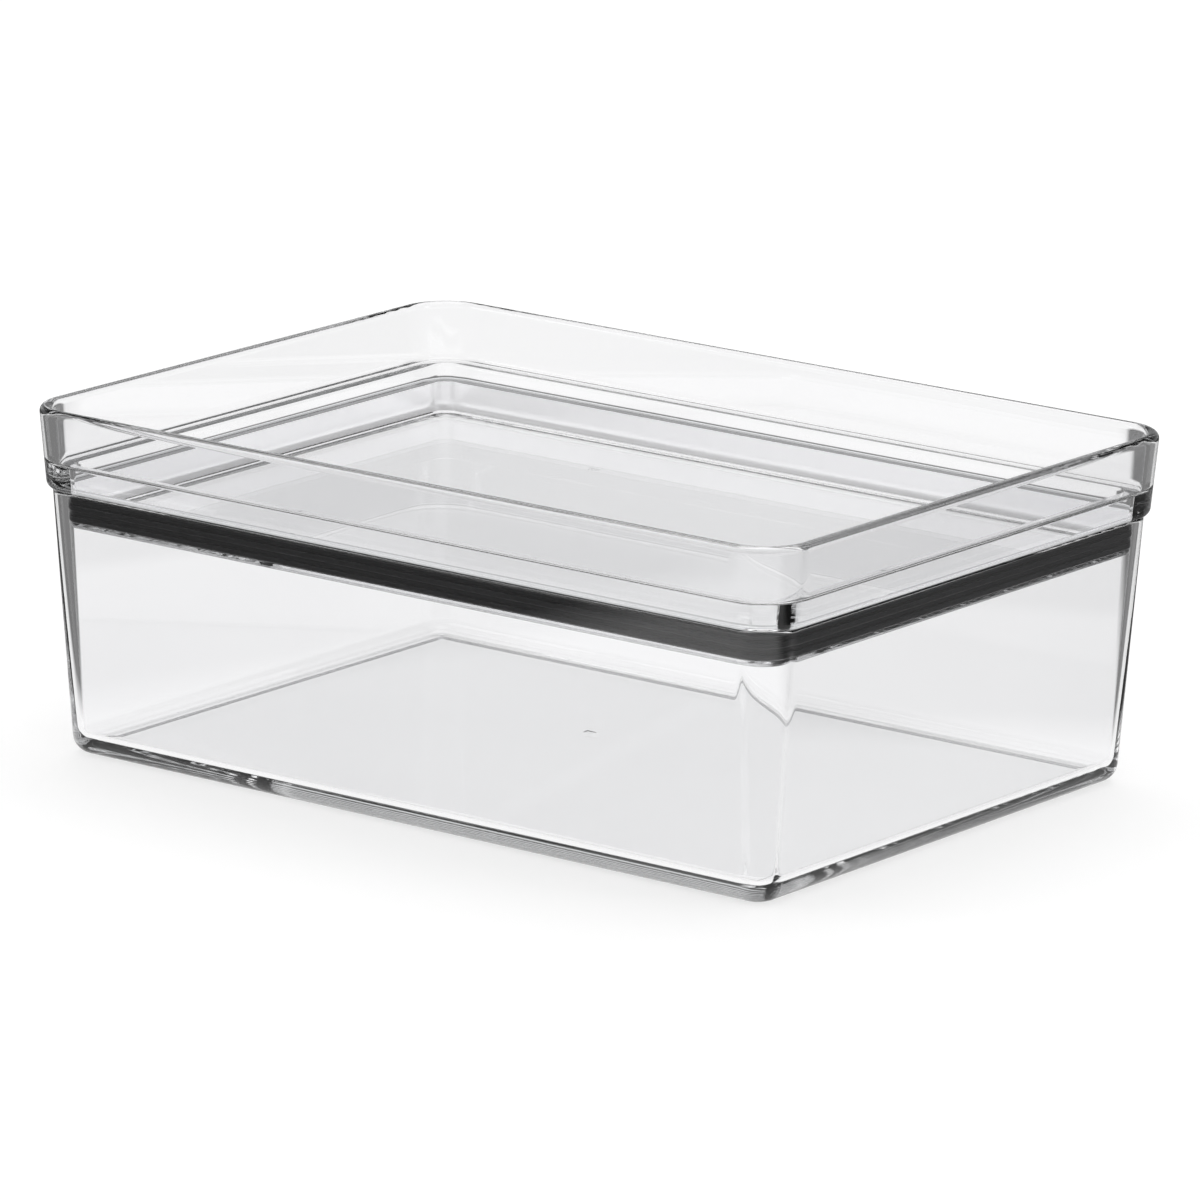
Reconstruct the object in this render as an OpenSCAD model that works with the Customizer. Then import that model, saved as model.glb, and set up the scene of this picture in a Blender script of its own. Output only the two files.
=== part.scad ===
// Clear storage box with a stacking lid and a seal ring.
// X runs along the long sides, Z is up, and the origin is on the base, at its middle.

/* [Overall] */
// Length over the lid's rim
rim_len = 210; // [150:1:320]
// Width over the lid's rim
rim_wid = 150; // [110:1:240]
// Corner radius of the lid's rim, seen from above
corner_r = 15; // [14:0.5:22]

/* [Box body] */
// Height of the box body
body_h = 61; // [30:1:85]
// Wall thickness of the box body
body_wall = 3; // [2.4:0.1:3.6]
// Lean of the body's walls from upright, in degrees
body_draft = 4; // [0:0.5:5]
// Thickness of the floor above the foot's recess
floor_t = 3; // [2:0.1:5]
// Round between the walls and the base, outside
base_r = 4.5; // [2:0.1:5]
// Round between the walls and the floor, inside
floor_r = 2.6; // [1:0.1:3]
// Round on both edges of the body's rim
body_edge_r = 0.6; // [0.2:0.1:1]
// Depth of the recess inside the foot
foot_rise = 0.8; // [0.3:0.1:2]
// Width of the flat foot that the box stands on
foot_wid = 3; // [1.5:0.1:8]
// Corner radius of the recess inside the foot
foot_corner_r = 8; // [2:0.5:14]

/* [Lid] */
// Height of the lid above the body's rim
lid_rise = 19; // [14:0.5:40]
// Wall thickness of the lid's rim
lid_wall = 3.2; // [2.6:0.1:4]
// Lean of the lid's walls from upright, in degrees
lid_draft = 5; // [0:0.5:6]
// How far the lid's lower edge stands out past the body's rim
lid_overhang = 1.3; // [0.6:0.1:2]
// Round under the lid's lower edge
skirt_r = 2; // [1:0.1:2.4]
// Height of the stacking ledge above the body's rim
ledge_rise = 5.8; // [4:0.1:9]
// Round between the rim and the ledge
ledge_r = 1.2; // [0.4:0.1:2]
// Round on the inner edge of the ledge
ledge_edge_r = 0.8; // [0.3:0.1:1.2]
// Wall thickness of the plug behind the seal
plug_wall = 1.8; // [1.4:0.1:3]
// Gap between the plug's foot and the body's wall
plug_gap = 0.5; // [0.3:0.1:1]
// Depth of the tray's floor below the body's rim
tray_drop = 5.7; // [2:0.1:20]
// Thickness of the tray's floor
tray_t = 2.6; // [2:0.1:4]
// Round between the plug wall and the tray's floor
tray_r = 2.4; // [1:0.1:3]
// Round under the plug's outer edge
plug_r = 0.8; // [0.3:0.1:1.2]

/* [Seal ring] */
// How far the seal hangs below the body's rim
seal_drop = 6.8; // [5:0.1:9]
// Height of the seal's flange above the body's rim
seal_flange_t = 1.2; // [0.6:0.1:2.4]
// Thickness of the band that the ribs stand on
seal_band_t = 0.9; // [0.5:0.1:1.2]
// Distance from the bottom of the groove to the tips of the ribs
seal_reach = 1.4; // [1.2:0.1:2.4]
// Gap between the ribs and the body's wall
seal_gap = 0.2; // [0.1:0.05:0.4]
// Number of sealing ribs
rib_count = 3; // [2:1:4]
// Height of one rib
rib_h = 1.5; // [0.8:0.1:1.8]

/* [Moulding marks] */
// Diameter of the gate marks
gate_d = 3.2; // [2:0.1:6]
// Depth of the gate marks
gate_depth = 0.25; // [0.1:0.05:0.6]

/* [Hidden] */
$fn = 64;

// Heights above the surface that the box stands on
rim_z = body_h + lid_rise;
floor_z = foot_rise + floor_t;
ledge_z = body_h + ledge_rise;
tray_z = body_h - tray_drop;
plug_z = tray_z - tray_t;
flange_z = body_h + seal_flange_t;
seal_z = body_h - seal_drop;

// Insets from the outline of the rim's top edge, at a height z
function lid_inset(z) = (rim_z - z) * tan(lid_draft);
function body_inset(z) = lid_inset(body_h) + lid_overhang + (body_h - z) * tan(body_draft);
function bore_inset(z) = body_inset(z) + body_wall;
skirt_inset = lid_inset(body_h) + lid_wall;
groove_inset = bore_inset(body_h) + seal_gap + seal_reach;
function tray_inset(z) = groove_inset + plug_wall + (ledge_z - z) * tan(lid_draft);

// Places of the gate marks on the tray's floor and on the box's floor
tray_gate = [-33, 42];
floor_gate = [-10, 13];

// A section is drawn from the centre line of a corner outwards, so that x is the corner's radius
function at(inset) = corner_r - inset;

// Turn at a vertex, positive where the outline bends left
function bend(a, b, c) = (b.x - a.x) * (c.y - b.y) - (b.y - a.y) * (c.x - b.x);
function unit(v) = v / norm(v);
function xy(p) = [p.x, p.y];

// How far the tangent points of a round lie from its vertex
function setback(a, b, c, r) =
    let (u = unit(a - b), v = unit(c - b), half = acos(max(-1, min(1, u * v))) / 2)
    r / tan(half);

// Centre of the round at vertex b
function round_centre(a, b, c, r) =
    let (u = unit(a - b), v = unit(c - b), half = acos(max(-1, min(1, u * v))) / 2)
    b + unit(u + v) * r / sin(half);

// The piece of a round's circle that lies between its two tangent points
module round_piece(a, b, c, r) {
    s = setback(a, b, c, r);
    centre = round_centre(a, b, c, r);
    intersection() {
        translate(centre)
            circle(r);
        polygon([b + unit(a - b) * s, b, b + unit(c - b) * s, centre]);
    }
}

// Outline through points [x, y, r], each rounded by its own radius with a true arc.
// The points run anticlockwise, and a radius of 0 leaves a sharp vertex.
module section(points) {
    n = len(points);
    before = function (i) xy(points[(i + n - 1) % n]);
    after = function (i) xy(points[(i + 1) % n]);
    here = function (i) xy(points[i]);
    difference() {
        union() {
            polygon([
                for (i = [0 : n - 1])
                    let (r = points[i].z, s = r > 0 ? setback(before(i), here(i), after(i), r) : 0)
                    for (p = r > 0
                        ? [here(i) + unit(before(i) - here(i)) * s, here(i) + unit(after(i) - here(i)) * s]
                        : [here(i)]) p
            ]);
            for (i = [0 : n - 1])
                if (points[i].z > 0 && bend(before(i), here(i), after(i)) > 0)
                    round_piece(before(i), here(i), after(i), points[i].z);
        }
        for (i = [0 : n - 1])
            if (points[i].z > 0 && bend(before(i), here(i), after(i)) < 0)
                round_piece(before(i), here(i), after(i), points[i].z);
    }
}

// Carries a section once round the rounded rectangle of the rim
module around() {
    half_x = rim_len / 2 - corner_r;
    half_y = rim_wid / 2 - corner_r;
    for (side = [0 : 3]) {
        half_out = side % 2 == 0 ? half_x : half_y;
        half_run = side % 2 == 0 ? half_y : half_x;
        rotate([0, 0, 90 * side]) {
            translate([half_out, half_run, 0])
                rotate([90, 0, 0])
                    linear_extrude(2 * half_run)
                        children();
            translate([half_out, half_run, 0])
                rotate_extrude(angle = 90)
                    children();
        }
    }
}

// Plate that closes the middle between the corners' centre lines
module middle_plate(z, t) {
    translate([0, 0, z + t / 2])
        cube([rim_len - 2 * corner_r, rim_wid - 2 * corner_r, t], center = true);
}

// Upright block with rounded corners
module rounded_block(length, width, r, h) {
    linear_extrude(h) {
        square([length - 2 * r, width], center = true);
        square([length, width - 2 * r], center = true);
        for (x = [-1, 1], y = [-1, 1])
            translate([x * (length / 2 - r), y * (width / 2 - r)])
                circle(r);
    }
}

module gate_mark(place, z) {
    translate([place.x, place.y, z - gate_depth])
        cylinder(d = gate_d, h = gate_depth + 1);
}

module box_body() {
    base_flat = body_inset(0) + base_r * tan(45 - body_draft / 2);
    color([0.86, 0.9, 0.92, 0.45])
        difference() {
            union() {
                around() section([
                    [0, 0, 0],
                    [at(body_inset(0)), 0, base_r],
                    [at(body_inset(body_h)), body_h, body_edge_r],
                    [at(bore_inset(body_h)), body_h, body_edge_r],
                    [at(bore_inset(floor_z)), floor_z, floor_r],
                    [0, floor_z, 0]
                ]);
                middle_plate(0, floor_z);
            }
            translate([0, 0, -1])
                rounded_block(
                    rim_len - 2 * (base_flat + foot_wid),
                    rim_wid - 2 * (base_flat + foot_wid),
                    foot_corner_r,
                    foot_rise + 1
                );
            gate_mark(floor_gate, floor_z);
        }
}

module lid() {
    foot_inset = bore_inset(plug_z) + plug_gap;
    color([0.86, 0.9, 0.92, 0.45])
        difference() {
            union() {
                around() section([
                    [0, plug_z, 0],
                    [at(foot_inset), plug_z, plug_r],
                    [at(foot_inset), seal_z, 0],
                    [at(groove_inset), seal_z, 0],
                    [at(groove_inset), flange_z, 0],
                    [at(skirt_inset), flange_z, 0],
                    [at(skirt_inset), body_h, 0],
                    [at(lid_inset(body_h)), body_h, skirt_r],
                    [at(lid_inset(rim_z)), rim_z, lid_wall / 2 - 0.05],
                    [at(lid_inset(rim_z) + lid_wall), rim_z, lid_wall / 2 - 0.05],
                    [at(lid_inset(ledge_z) + lid_wall), ledge_z, ledge_r],
                    [at(tray_inset(ledge_z)), ledge_z, ledge_edge_r],
                    [at(tray_inset(tray_z)), tray_z, tray_r],
                    [0, tray_z, 0]
                ]);
                middle_plate(plug_z, tray_t);
            }
            gate_mark(tray_gate, tray_z);
        }
}

module seal_ring() {
    pitch = (seal_drop - rib_h) / (rib_count - 1);
    color([0.13, 0.13, 0.14])
        around() {
            translate([at(groove_inset), seal_z])
                square([seal_band_t, flange_z - seal_z]);
            translate([at(groove_inset), body_h])
                square([groove_inset - skirt_inset, seal_flange_t]);
            for (i = [0 : rib_count - 1]) {
                low = seal_z + i * pitch;
                tip = at(bore_inset(low) + seal_gap);
                section([
                    [at(groove_inset), low, 0],
                    [tip, low, rib_h / 3],
                    [tip, low + rib_h, rib_h / 3],
                    [at(groove_inset), low + rib_h, 0]
                ]);
            }
        }
}

box_body();
lid();
seal_ring();
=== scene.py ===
import math

import bpy
from mathutils import Matrix, Vector


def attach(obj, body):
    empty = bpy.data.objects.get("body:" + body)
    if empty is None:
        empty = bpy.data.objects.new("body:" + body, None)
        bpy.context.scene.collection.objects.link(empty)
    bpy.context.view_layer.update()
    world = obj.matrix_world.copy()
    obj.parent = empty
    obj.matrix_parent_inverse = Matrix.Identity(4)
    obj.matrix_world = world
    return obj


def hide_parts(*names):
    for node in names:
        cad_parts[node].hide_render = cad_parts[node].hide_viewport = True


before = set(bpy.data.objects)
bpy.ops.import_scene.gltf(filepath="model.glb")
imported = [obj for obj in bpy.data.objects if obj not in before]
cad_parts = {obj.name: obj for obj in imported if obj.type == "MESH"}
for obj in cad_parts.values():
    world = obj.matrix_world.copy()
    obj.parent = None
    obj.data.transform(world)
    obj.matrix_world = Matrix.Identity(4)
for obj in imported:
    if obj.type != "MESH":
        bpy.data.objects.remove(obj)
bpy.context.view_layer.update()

# The clear box with its stacking lid and seal ring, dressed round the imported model. Sizes are in
# millimetres in the settings, and become metres where a piece is made.
mm = 0.001
bpy.ops.object.select_all(action="DESELECT")
print("frame loaded")


# Outline of the rim seen from above, which all three pieces follow. The hold distances place the support
# loops beside the rounds, and the extras are added to the corner's radius at the base and at the top.
rim = {
    "length": 210,
    "width": 150,
    "cornerRadius": 15,
    "cornerSteps": 28,
    "roundStep": 9,
    "innerEnd": 0.2,
    "airGap": 0.06,
    "holdBeside": 0.06,
    "holdStraight": 0.5,
    "mergeWithin": 0.002,
    "baseExtra": -1.5,
    "topExtra": -2.5,
    "smallestRadius": 0.15,
    "smoothBelow": 32,
}

# Heights and insets that the pieces share
fit = {
    "bodyHeight": 61,
    "rimHeight": 80,
    "bodyWall": 3,
    "lidWall": 3.2,
    "overhang": 1.3,
    "bodyDraft": 4,
    "lidDraft": 5,
    "grooveDepth": 1.6,
    "sealBottom": 54.2,
    "flangeTop": 62.2,
}


def lean(height, degrees):
    return height * math.tan(math.radians(degrees))


def lidInset(z):
    return lean(fit["rimHeight"] - z, fit["lidDraft"])


def bodyInset(z):
    return lidInset(fit["bodyHeight"]) + fit["overhang"] + lean(fit["bodyHeight"] - z, fit["bodyDraft"])


def boreInset(z):
    return bodyInset(z) + fit["bodyWall"]


skirtInset = lidInset(fit["bodyHeight"]) + fit["lidWall"]
grooveInset = boreInset(fit["bodyHeight"]) + fit["grooveDepth"]


def roundedSection(points):
    # each point is [inset from the rim, height, round]; gives radius from the corner's centre, and height
    corners = [(Vector((rim["cornerRadius"] - inset, z)), r) for inset, z, r in points]
    path = []
    for i, (here, r) in enumerate(corners):
        if r == 0:
            path.append(here)
            continue
        toBefore = (corners[i - 1][0] - here).normalized()
        toAfter = (corners[(i + 1) % len(corners)][0] - here).normalized()
        half = toBefore.angle(toAfter) / 2
        centre = here + (toBefore + toAfter).normalized() * (r / math.sin(half))
        setback = r / math.tan(half)
        start = here + toBefore * setback - centre
        end = here + toAfter * setback - centre
        first = math.atan2(start.y, start.x)
        turn = (math.atan2(end.y, end.x) - first + math.pi) % (2 * math.pi) - math.pi
        steps = max(2, math.ceil(abs(math.degrees(turn)) / rim["roundStep"]))
        path.append(here + toBefore * (setback + rim["holdBeside"]))
        for step in range(steps + 1):
            angle = first + turn * step / steps
            path.append(centre + Vector((math.cos(angle), math.sin(angle))) * r)
        path.append(here + toAfter * (setback + rim["holdBeside"]))
    return path


def carryAround(name, path, closed):
    # one vertex is pushed along the section, and the section is carried round the rim
    halfX = (rim["length"] / 2 - rim["cornerRadius"]) * mm
    halfY = (rim["width"] / 2 - rim["cornerRadius"]) * mm
    if closed:
        path = path + [path[0]]
    bpy.ops.object.select_all(action="DESELECT")
    bpy.ops.mesh.primitive_plane_add(size=mm, location=(0, 0, 0))
    piece = bpy.context.object
    piece.name = name
    piece.data.name = name
    bpy.ops.object.mode_set(mode="EDIT")
    bpy.ops.mesh.select_all(action="SELECT")
    bpy.ops.mesh.merge(type="CENTER")
    bpy.ops.transform.translate(value=(halfX + path[0].x * mm, -halfY, path[0].y * mm))
    for last, here in zip(path, path[1:]):
        move = (here - last) * mm
        bpy.ops.mesh.extrude_vertices_move(TRANSFORM_OT_translate={"value": (move.x, 0, move.y)})
    bpy.ops.mesh.select_all(action="SELECT")
    quarterTurn = -math.pi / 2
    straights = [(0, 2 * halfY, 0), (-2 * halfX, 0, 0), (0, -2 * halfY, 0), (2 * halfX, 0, 0)]
    centres = [(halfX, halfY, 0), (-halfX, halfY, 0), (-halfX, -halfY, 0), (halfX, -halfY, 0)]
    hold = rim["holdStraight"] * mm
    for straight, centre in zip(straights, centres):
        whole = Vector(straight)
        short = whole.normalized() * hold
        for part in (short, whole - 2 * short, short):
            bpy.ops.mesh.extrude_region_move(TRANSFORM_OT_translate={"value": part})
        bpy.ops.mesh.spin(steps=rim["cornerSteps"], angle=quarterTurn, center=centre, axis=(0, 0, 1))
    bpy.ops.mesh.select_all(action="SELECT")
    bpy.ops.mesh.remove_doubles(threshold=rim["mergeWithin"] * mm)
    if not closed:
        bpy.ops.mesh.fill_holes(sides=0)
    bpy.ops.mesh.select_all(action="SELECT")
    bpy.ops.mesh.normals_make_consistent(inside=False)
    bpy.ops.object.mode_set(mode="OBJECT")
    easeCorners(piece)
    return piece


def easeCorners(piece):
    # the upright corners are drawn tighter, as in the photograph: each corner's centre moves out, and the
    # walls stay flat
    centreX = (rim["length"] / 2 - rim["cornerRadius"]) * mm
    centreY = (rim["width"] / 2 - rim["cornerRadius"]) * mm
    pastHold = 1.1 * rim["holdStraight"] * mm
    for point in piece.data.vertices:
        outX, outY = abs(point.co.x) - centreX, abs(point.co.y) - centreY
        if min(outX, outY) < -pastHold:
            continue
        share = point.co.z / mm / fit["rimHeight"]
        extra = (rim["baseExtra"] + (rim["topExtra"] - rim["baseExtra"]) * share) * mm
        angle = math.atan2(max(outY, 0), max(outX, 0))
        radius = math.hypot(max(outX, 0), max(outY, 0))
        extra = max(extra, min(0, rim["smallestRadius"] * mm - radius))
        point.co.x += math.copysign(1, point.co.x) * extra * (math.cos(angle) - 1)
        point.co.y += math.copysign(1, point.co.y) * extra * (math.sin(angle) - 1)
    piece.data.update()


def pressGate(piece, place, top, depth, diameter):
    # the flat middle of a floor is drawn in to a small circle, which is pressed down
    nearby = mm / 10
    upward = 0.9
    level = [
        face for face in piece.data.polygons
        if face.normal.z > upward and abs(face.center.z - top * mm) < nearby
    ]
    floorFace = max(level, key=lambda face: face.area).index
    bpy.ops.object.select_all(action="DESELECT")
    piece.select_set(True)
    bpy.context.view_layer.objects.active = piece
    bpy.ops.object.mode_set(mode="EDIT")
    bpy.ops.mesh.select_all(action="DESELECT")
    bpy.ops.object.mode_set(mode="OBJECT")
    piece.data.polygons[floorFace].select = True
    bpy.context.tool_settings.mesh_select_mode = (False, False, True)
    bpy.ops.object.mode_set(mode="EDIT")
    bpy.ops.mesh.inset(thickness=nearby)
    bpy.ops.object.mode_set(mode="OBJECT")
    middle = Vector((place[0] * mm, place[1] * mm, top * mm))
    for point in piece.data.vertices:
        if point.select:
            point.co = middle + (point.co - middle).normalized() * diameter / 2 * mm
    bpy.ops.object.mode_set(mode="EDIT")
    bpy.ops.mesh.extrude_region_move(TRANSFORM_OT_translate={"value": (0, 0, -depth * mm)})
    bpy.ops.object.mode_set(mode="OBJECT")
    bpy.context.tool_settings.mesh_select_mode = (True, False, False)


def finishSurface(piece, material, body, node):
    # rounds shade smooth, flat walls stay flat, and sharp edges stay sharp
    bpy.ops.object.select_all(action="DESELECT")
    piece.select_set(True)
    bpy.context.view_layer.objects.active = piece
    bpy.ops.object.shade_smooth_by_angle(angle=math.radians(rim["smoothBelow"]))
    piece.data.materials.clear()
    piece.data.materials.append(material)
    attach(piece, body)
    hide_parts(node)
    print(piece.name, len(piece.data.polygons), "faces")


def joinNodes(material):
    return material.node_tree.nodes, material.node_tree.links


def spreadRamp(ramp, places, colors):
    for stop, place, color in zip(ramp.elements, places, colors):
        stop.position = place
        stop.color = color


def higherOf(nodes, links, first, second):
    larger = nodes.new("ShaderNodeMath")
    larger.operation = "MAXIMUM"
    links.new(first, larger.inputs[0])
    links.new(second, larger.inputs[1])
    return larger.outputs[0]


clearLook = {
    "tintLow": (0.962, 0.962, 0.968, 1),
    "tintHigh": (0.975, 0.975, 0.98, 1),
    "ior": 1.49,
    "tintSpan": (0.3, 0.7),
    "flowScale": 16,
    "flowDetail": 1,
    "flowStrength": 0.08,
    "flowDepth": 0.0006,
    "smudgeScale": 60,
    "smudgeDetail": 3,
    "smudgeSpan": (0.55, 0.8),
    "smudgeLow": 0.0,
    "smudgeHigh": 0.02,
}


def clearPlastic(name, look):
    material = bpy.data.materials.new(name)
    material.use_nodes = True
    nodes, links = joinNodes(material)
    shader = nodes["Principled BSDF"]
    shader.inputs["Transmission Weight"].default_value = 1
    shader.inputs["IOR"].default_value = look["ior"]
    place = nodes.new("ShaderNodeTexCoord")
    flow = nodes.new("ShaderNodeTexNoise")
    flow.inputs["Scale"].default_value = look["flowScale"]
    flow.inputs["Detail"].default_value = look["flowDetail"]
    links.new(place.outputs["Object"], flow.inputs["Vector"])
    tint = nodes.new("ShaderNodeValToRGB")
    spreadRamp(tint.color_ramp, look["tintSpan"], (look["tintLow"], look["tintHigh"]))
    links.new(flow.outputs["Fac"], tint.inputs["Fac"])
    links.new(tint.outputs["Color"], shader.inputs["Base Color"])
    ripple = nodes.new("ShaderNodeBump")
    ripple.inputs["Strength"].default_value = look["flowStrength"]
    ripple.inputs["Distance"].default_value = look["flowDepth"]
    links.new(flow.outputs["Fac"], ripple.inputs["Height"])
    links.new(ripple.outputs["Normal"], shader.inputs["Normal"])
    smudge = nodes.new("ShaderNodeTexNoise")
    smudge.inputs["Scale"].default_value = look["smudgeScale"]
    smudge.inputs["Detail"].default_value = look["smudgeDetail"]
    links.new(place.outputs["Object"], smudge.inputs["Vector"])
    polish = nodes.new("ShaderNodeMapRange")
    polish.inputs["From Min"].default_value = look["smudgeSpan"][0]
    polish.inputs["From Max"].default_value = look["smudgeSpan"][1]
    polish.inputs["To Min"].default_value = look["smudgeLow"]
    polish.inputs["To Max"].default_value = look["smudgeHigh"]
    links.new(smudge.outputs["Fac"], polish.inputs["Value"])
    links.new(polish.outputs["Result"], shader.inputs["Roughness"])
    return material


sealLook = {
    "colorLow": (0.008, 0.008, 0.009, 1),
    "colorHigh": (0.016, 0.016, 0.018, 1),
    "specular": 0.22,
    "metallic": 0,
    "glow": 0,
    "roughLow": 0.28,
    "roughHigh": 0.4,
    "cloudScale": 70,
    "cloudDetail": 4,
    "cloudSpan": (0.3, 0.75),
    "grainScale": 900,
    "grainStrength": 0.25,
    "grainDepth": 0.00004,
}


# The ring's back is painted light: pale, glowing and partly metallic, because no dark band shows through the
# tray's far wall; the rubber itself is black
ringBackPaintedLook = {
    **sealLook,
    "colorLow": (0.88, 0.88, 0.89, 1),
    "colorHigh": (0.95, 0.95, 0.955, 1),
    "metallic": 0.75,
    "glow": 0.45,
}


def softRubber(name, look):
    material = bpy.data.materials.new(name)
    material.use_nodes = True
    nodes, links = joinNodes(material)
    shader = nodes["Principled BSDF"]
    shader.inputs["Specular IOR Level"].default_value = look["specular"]
    shader.inputs["Metallic"].default_value = look["metallic"]
    shader.inputs["Emission Color"].default_value = look["colorHigh"]
    shader.inputs["Emission Strength"].default_value = look["glow"]
    place = nodes.new("ShaderNodeTexCoord")
    cloud = nodes.new("ShaderNodeTexNoise")
    cloud.inputs["Scale"].default_value = look["cloudScale"]
    cloud.inputs["Detail"].default_value = look["cloudDetail"]
    links.new(place.outputs["Object"], cloud.inputs["Vector"])
    color = nodes.new("ShaderNodeValToRGB")
    spreadRamp(color.color_ramp, look["cloudSpan"], (look["colorLow"], look["colorHigh"]))
    links.new(cloud.outputs["Fac"], color.inputs["Fac"])
    links.new(color.outputs["Color"], shader.inputs["Base Color"])
    rough = nodes.new("ShaderNodeMapRange")
    rough.inputs["To Min"].default_value = look["roughLow"]
    rough.inputs["To Max"].default_value = look["roughHigh"]
    links.new(cloud.outputs["Fac"], rough.inputs["Value"])
    links.new(rough.outputs["Result"], shader.inputs["Roughness"])
    grain = nodes.new("ShaderNodeTexNoise")
    grain.inputs["Scale"].default_value = look["grainScale"]
    links.new(place.outputs["Object"], grain.inputs["Vector"])
    pits = nodes.new("ShaderNodeBump")
    pits.inputs["Strength"].default_value = look["grainStrength"]
    pits.inputs["Distance"].default_value = look["grainDepth"]
    links.new(grain.outputs["Fac"], pits.inputs["Height"])
    links.new(pits.outputs["Normal"], shader.inputs["Normal"])
    return material


boxPlastic = clearPlastic("boxClearPlastic", clearLook)
lidPlastic = clearPlastic("lidClearPlastic", clearLook)
sealRubber = softRubber("sealRubber", sealLook)
ringBackPaintedGlow = softRubber("ringBackPaintedLight", ringBackPaintedLook)
print("materials made")


bodySettings = {
    "floorTop": 3.8,
    "baseRound": 4.5,
    "edgeRound": 0.6,
    "floorRound": 2.6,
    "footHeight": 0.8,
    "footWidth": 3,
    "brokenEdge": 0.15,
    "gatePlace": (-10, 13),
    "gateDiameter": 3.2,
    "gateDepth": 0.25,
}


def makeBody(settings):
    height = fit["bodyHeight"]
    flatStart = rim["cornerRadius"] - rim["innerEnd"]
    baseFlat = bodyInset(0) + settings["baseRound"] * math.tan(math.radians(45 - fit["bodyDraft"] / 2))
    footInner = baseFlat + settings["footWidth"]
    section = roundedSection([
        [flatStart, settings["footHeight"], 0],
        [footInner, settings["footHeight"], settings["brokenEdge"]],
        [footInner, 0, settings["brokenEdge"]],
        [bodyInset(0), 0, settings["baseRound"]],
        [bodyInset(height), height, settings["edgeRound"]],
        [boreInset(height), height, settings["edgeRound"]],
        [boreInset(settings["floorTop"]), settings["floorTop"], settings["floorRound"]],
        [flatStart, settings["floorTop"], 0],
    ])
    piece = carryAround("clearBody", section, False)
    floorTop, depth, diameter = settings["floorTop"], settings["gateDepth"], settings["gateDiameter"]
    pressGate(piece, settings["gatePlace"], floorTop, depth, diameter)
    finishSurface(piece, boxPlastic, "box", "box_body")


lidSettings = {
    "ledge": 66.8,
    "trayFloor": 55.3,
    "plugBottom": 52.7,
    "plugWall": 1.8,
    "plugGap": 0.5,
    "plugRound": 0.8,
    "skirtRound": 2,
    "rimRound": 1.55,
    "ledgeRound": 1.2,
    "ledgeEdgeRound": 0.8,
    "trayRound": 2.4,
    "brokenEdge": 0.15,
    "gatePlace": (-33, 42),
    "gateDiameter": 3.2,
    "gateDepth": 0.25,
}


def makeLid(settings):
    ledge, tray, plug = settings["ledge"], settings["trayFloor"], settings["plugBottom"]
    edge = settings["brokenEdge"]
    seat = fit["bodyHeight"] + rim["airGap"]
    flatStart = rim["cornerRadius"] - rim["innerEnd"]
    plugInset = boreInset(plug) + settings["plugGap"]
    trayInset = grooveInset + settings["plugWall"]
    section = roundedSection([
        [flatStart, plug, 0],
        [plugInset, plug, settings["plugRound"]],
        [plugInset, fit["sealBottom"], edge],
        [grooveInset, fit["sealBottom"], edge],
        [grooveInset, fit["flangeTop"], edge],
        [skirtInset, fit["flangeTop"], edge],
        [skirtInset, seat, edge],
        [lidInset(seat), seat, settings["skirtRound"]],
        [0, fit["rimHeight"], settings["rimRound"]],
        [fit["lidWall"], fit["rimHeight"], settings["rimRound"]],
        [lidInset(ledge) + fit["lidWall"], ledge, settings["ledgeRound"]],
        [trayInset, ledge, settings["ledgeEdgeRound"]],
        [trayInset + lean(ledge - tray, fit["lidDraft"]), tray, settings["trayRound"]],
        [flatStart, tray, 0],
    ])
    piece = carryAround("clearLid", section, False)
    pressGate(piece, settings["gatePlace"], tray, settings["gateDepth"], settings["gateDiameter"])
    finishSurface(piece, lidPlastic, "lid", "lid")


sealSettings = {
    "band": 0.3,
    "ribGap": 0.2,
    "ribHeight": 1.5,
    "ribCount": 3,
    "ribRound": 0.38,
    "rootRound": 0.1,
    "flangeRound": 0.25,
    "smallestPaintedBack": 1.5,
}


def makeSeal(settings):
    gap = rim["airGap"]
    bottom, seat, top = fit["sealBottom"], fit["bodyHeight"], fit["flangeTop"]
    inner = grooveInset - gap
    band = grooveInset - settings["band"]
    pitch = (seat - bottom - settings["ribHeight"]) / (settings["ribCount"] - 1)
    points = [[inner, bottom + gap, 0]]
    for i in range(settings["ribCount"]):
        low = bottom + i * pitch
        high = low + settings["ribHeight"]
        tip = boreInset(low) + settings["ribGap"]
        if i > 0:
            points.append([band, low, settings["rootRound"]])
        points.append([tip, low + (gap if i == 0 else 0), settings["ribRound"]])
        points.append([tip, high, settings["ribRound"]])
        points.append([band, high, settings["rootRound"]])
    # the top rib runs up into the flange
    points[-2:] = [
        [tip, seat + gap, settings["rootRound"]],
        [skirtInset + gap, seat + gap, settings["flangeRound"]],
        [skirtInset + gap, top - gap, settings["flangeRound"]],
        [inner, top - gap, 0],
    ]
    piece = carryAround("sealRing", roundedSection(points), True)
    finishSurface(piece, sealRubber, "lid", "seal_ring")
    # the larger inward faces of the black ring take the painted light of the pale glowing back
    piece.data.materials.append(ringBackPaintedGlow)
    for face in piece.data.polygons:
        inward = face.normal.x * face.center.x + face.normal.y * face.center.y < 0
        face.material_index = 1 if inward and face.area > settings["smallestPaintedBack"] * mm * mm else 0


makeBody(bodySettings)
makeLid(lidSettings)
makeSeal(sealSettings)
print("pieces made")


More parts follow.
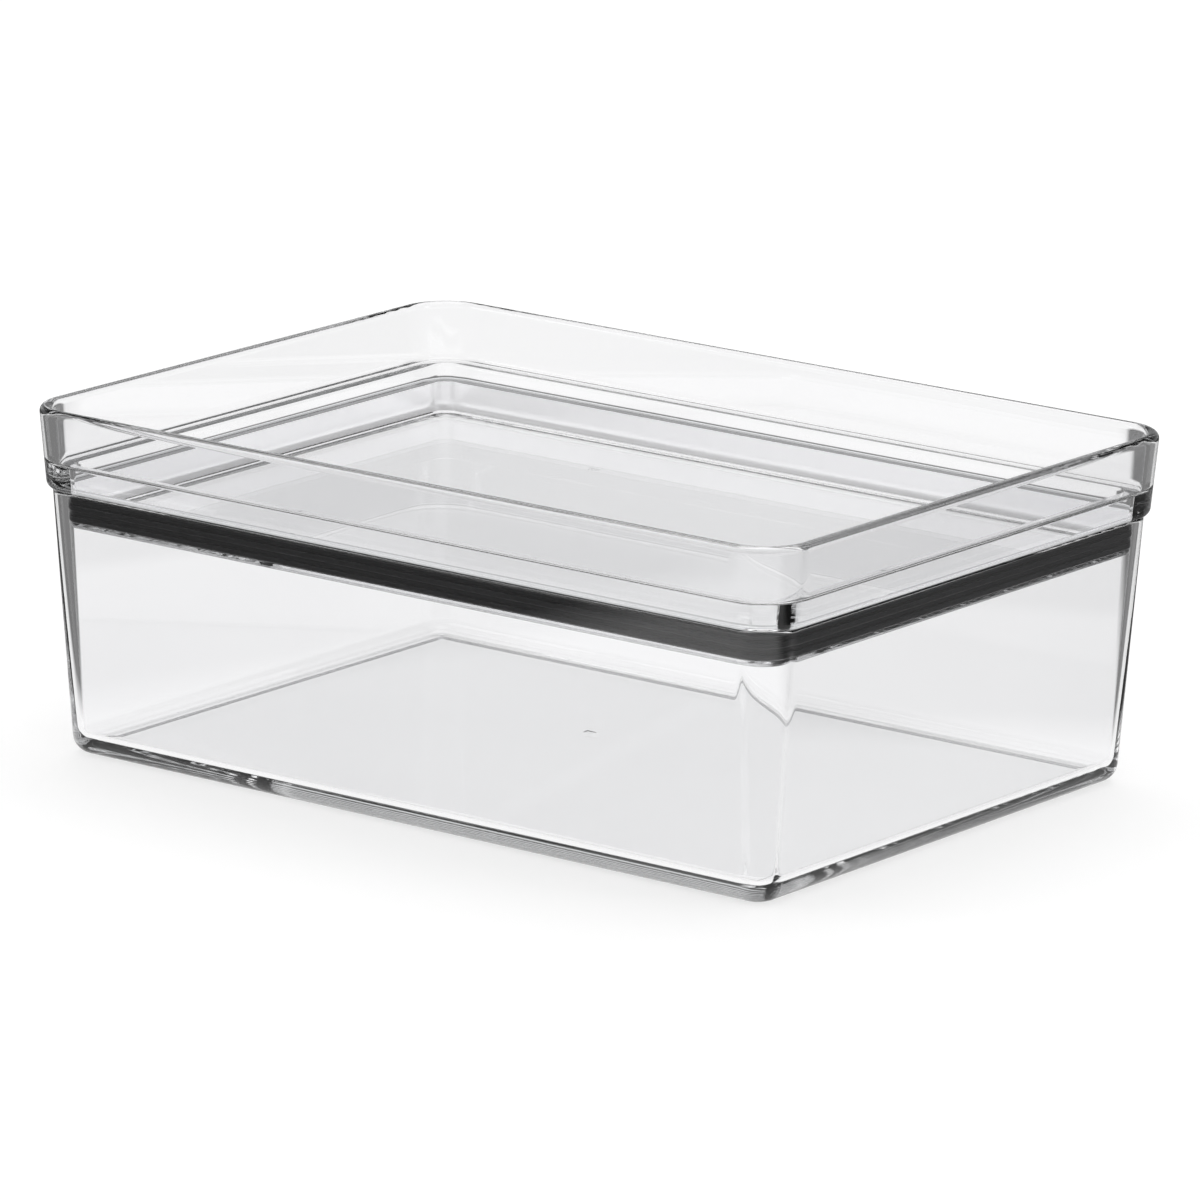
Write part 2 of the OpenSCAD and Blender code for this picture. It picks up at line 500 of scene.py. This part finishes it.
# The floor is white paper with the box's soft shadow on it. The drop below the box is in millimetres and the
# other distances are in metres. "across" is the direction from left to right in the photograph's view.
floorSettings = {
    "size": 24,
    "drop": 0.25,
    "color": (0.42, 0.42, 0.42, 1),
    "lift": 0.66,
    "bounce": 0.32,
    "whiteTo": 0.55,
    "dimFrom": 0.85,
    "dimLevel": 0.2,
    "nearLevel": 1.0,
    "sideFrom": 0.135,
    "sideTo": 0.16,
    "across": (0.794, 0.609, 0),
}


def makeFloor(settings):
    bpy.ops.object.select_all(action="DESELECT")
    bpy.ops.mesh.primitive_plane_add(size=settings["size"], location=(0, 0, -settings["drop"] * mm))
    floor = bpy.context.object
    floor.name = "paperFloor"
    material = bpy.data.materials.new("whitePaper")
    material.use_nodes = True
    nodes, links = joinNodes(material)
    shader = nodes["Principled BSDF"]
    shader.inputs["Base Color"].default_value = settings["color"]
    shader.inputs["Roughness"].default_value = 1
    shader.inputs["Specular IOR Level"].default_value = 0
    rays = nodes.new("ShaderNodeLightPath")
    mirrored = higherOf(nodes, links, rays.outputs["Is Glossy Ray"], rays.outputs["Is Transmission Ray"])
    lift = nodes.new("ShaderNodeMapRange")
    lift.inputs["To Min"].default_value = settings["bounce"]
    lift.inputs["To Max"].default_value = settings["lift"]
    links.new(rays.outputs["Is Camera Ray"], lift.inputs["Value"])
    glow = nodes.new("ShaderNodeEmission")
    links.new(lift.outputs[0], glow.inputs["Strength"])
    both = nodes.new("ShaderNodeAddShader")
    links.new(shader.outputs["BSDF"], both.inputs[0])
    links.new(glow.outputs["Emission"], both.inputs[1])
    # painted reflection: gloss and the plastic see the floor as a glow, painted white under and behind the
    # box with no shadow, and painted dim at its sides in place of dark flags
    place = nodes.new("ShaderNodeTexCoord")
    distance = nodes.new("ShaderNodeVectorMath")
    distance.operation = "LENGTH"
    links.new(place.outputs["Object"], distance.inputs[0])
    far = nodes.new("ShaderNodeMapRange")
    far.inputs["From Min"].default_value = settings["whiteTo"]
    far.inputs["From Max"].default_value = settings["dimFrom"]
    links.new(distance.outputs["Value"], far.inputs["Value"])
    across = nodes.new("ShaderNodeVectorMath")
    across.operation = "DOT_PRODUCT"
    across.inputs[1].default_value = settings["across"]
    links.new(place.outputs["Object"], across.inputs[0])
    offside = nodes.new("ShaderNodeMath")
    offside.operation = "ABSOLUTE"
    links.new(across.outputs["Value"], offside.inputs[0])
    side = nodes.new("ShaderNodeMapRange")
    side.inputs["From Min"].default_value = settings["sideFrom"]
    side.inputs["From Max"].default_value = settings["sideTo"]
    links.new(offside.outputs[0], side.inputs["Value"])
    dimShare = higherOf(nodes, links, side.outputs["Result"], far.outputs["Result"])
    level = nodes.new("ShaderNodeMapRange")
    level.inputs["To Min"].default_value = settings["nearLevel"]
    level.inputs["To Max"].default_value = settings["dimLevel"]
    links.new(dimShare, level.inputs["Value"])
    dim = nodes.new("ShaderNodeEmission")
    links.new(level.outputs["Result"], dim.inputs["Strength"])
    whiteOrDim = nodes.new("ShaderNodeMixShader")
    links.new(mirrored, whiteOrDim.inputs["Fac"])
    links.new(both.outputs["Shader"], whiteOrDim.inputs[1])
    links.new(dim.outputs["Emission"], whiteOrDim.inputs[2])
    links.new(whiteOrDim.outputs["Shader"], nodes["Material Output"].inputs["Surface"])
    floor.data.materials.append(material)


makeFloor(floorSettings)

# Round the box: white near the horizon, and a dim room above it, which draws the plastic's edges. Each height
# runs from 0 straight down to 1 straight up, beside its brightness.
roomSettings = {
    "paper": 1.0,
    "fill": 0.75,
    "coolness": (1, 1.01, 1.02),
    "heights": [
        (0.5, 0.9),
        (0.53, 0.85),
        (0.55, 0.5),
        (0.62, 0.6),
        (0.68, 0.3),
        (0.75, 0.1),
        (1.0, 0.06),
    ],
}


def makeRoom(settings):
    world = bpy.data.worlds.new("paleStudio")
    bpy.context.scene.world = world
    world.use_nodes = True
    nodes, links = world.node_tree.nodes, world.node_tree.links
    paper = nodes["Background"]
    paper.inputs["Color"].default_value = (1, 1, 1, 1)
    paper.inputs["Strength"].default_value = settings["paper"]
    fill = nodes.new("ShaderNodeBackground")
    fill.inputs["Color"].default_value = (1, 1, 1, 1)
    fill.inputs["Strength"].default_value = settings["fill"]
    room = nodes.new("ShaderNodeBackground")
    direction = nodes.new("ShaderNodeTexCoord")
    split = nodes.new("ShaderNodeSeparateXYZ")
    height = nodes.new("ShaderNodeMapRange")
    height.inputs["From Min"].default_value = -1
    ramp = nodes.new("ShaderNodeValToRGB")
    stops = ramp.color_ramp.elements
    while len(stops) < len(settings["heights"]):
        stops.new(0.5)
    for stop, (place, level) in zip(stops, settings["heights"]):
        stop.position = place
        stop.color = (*(level * share for share in settings["coolness"]), 1)
    links.new(direction.outputs["Generated"], split.inputs["Vector"])
    links.new(split.outputs["Z"], height.inputs["Value"])
    links.new(height.outputs["Result"], ramp.inputs["Fac"])
    links.new(ramp.outputs["Color"], room.inputs["Color"])
    rays = nodes.new("ShaderNodeLightPath")
    mirrored = higherOf(nodes, links, rays.outputs["Is Glossy Ray"], rays.outputs["Is Transmission Ray"])
    fillOrRoom = nodes.new("ShaderNodeMixShader")
    links.new(mirrored, fillOrRoom.inputs["Fac"])
    links.new(fill.outputs["Background"], fillOrRoom.inputs[1])
    links.new(room.outputs["Background"], fillOrRoom.inputs[2])
    orPaper = nodes.new("ShaderNodeMixShader")
    links.new(rays.outputs["Is Camera Ray"], orPaper.inputs["Fac"])
    links.new(fillOrRoom.outputs["Shader"], orPaper.inputs[1])
    links.new(paper.outputs["Background"], orPaper.inputs[2])
    links.new(orPaper.outputs["Shader"], nodes["World Output"].inputs["Surface"])


makeRoom(roomSettings)

# Soft lamps, aimed at the box: place and size in metres, power in watts
lamps = {
    "topSoftbox": {"place": (-0.15, 0.35, 1.25), "size": (1.1, 1.1), "power": 4.5},
    "leftStrip": {"place": (-1.1, -0.9, 0.75), "size": (0.3, 0.9), "power": 1.6},
    "rightStrip": {"place": (1.3, 0.35, 0.8), "size": (0.3, 0.9), "power": 1.6},
}
aimPoint = Vector((0, 0, 0.04))
for lampName, lamp in lamps.items():
    bpy.ops.object.light_add(type="AREA", location=lamp["place"])
    softbox = bpy.context.object
    softbox.name = lampName
    softbox.data.shape = "RECTANGLE"
    softbox.data.size, softbox.data.size_y = lamp["size"]
    softbox.data.energy = lamp["power"]
    softbox.rotation_euler = (aimPoint - Vector(lamp["place"])).to_track_quat("-Z", "Y").to_euler()
print("floor, room and lamps made")

# Camera of the photograph: turn, height and roll in degrees, distances in millimetres, far clip in metres
view = {
    "turn": 37.48,
    "height": 14.343,
    "roll": 0.72,
    "distance": 2022.86,
    "aside": 1.032,
    "up": 38.185,
    "lens": 273.14,
    "sensor": 36,
    "farClip": 60,
}


def makeCamera(settings):
    turn, height, roll = (math.radians(settings[key]) for key in ("turn", "height", "roll"))
    back = Vector((
        math.sin(turn) * math.cos(height),
        -math.cos(turn) * math.cos(height),
        math.sin(height),
    ))
    levelRight = (-back).cross(Vector((0, 0, 1))).normalized()
    levelUp = levelRight.cross(-back)
    right = math.cos(roll) * levelRight + math.sin(roll) * levelUp
    up = -math.sin(roll) * levelRight + math.cos(roll) * levelUp
    middle = right * settings["aside"] * mm + Vector((0, 0, settings["up"] * mm))
    place = middle + back * settings["distance"] * mm
    bpy.ops.object.camera_add(location=place)
    camera = bpy.context.object
    camera.name = "photoCamera"
    camera.data.sensor_width = settings["sensor"]
    camera.data.lens = settings["lens"]
    camera.data.clip_end = settings["farClip"]
    camera.rotation_euler = Matrix((right, up, back)).transposed().to_euler()
    bpy.context.scene.camera = camera


makeCamera(view)

scene = bpy.context.scene
scene.view_settings.view_transform = "Standard"
# light crosses many plastic faces, one after the other
throughPlastic = 32
mirroredOnly = 16
scene.cycles.max_bounces = throughPlastic
scene.cycles.transmission_bounces = throughPlastic
scene.cycles.glossy_bounces = mirroredOnly
scene.cycles.transparent_max_bounces = mirroredOnly

bpy.ops.object.select_all(action="DESELECT")
print("scene ready")
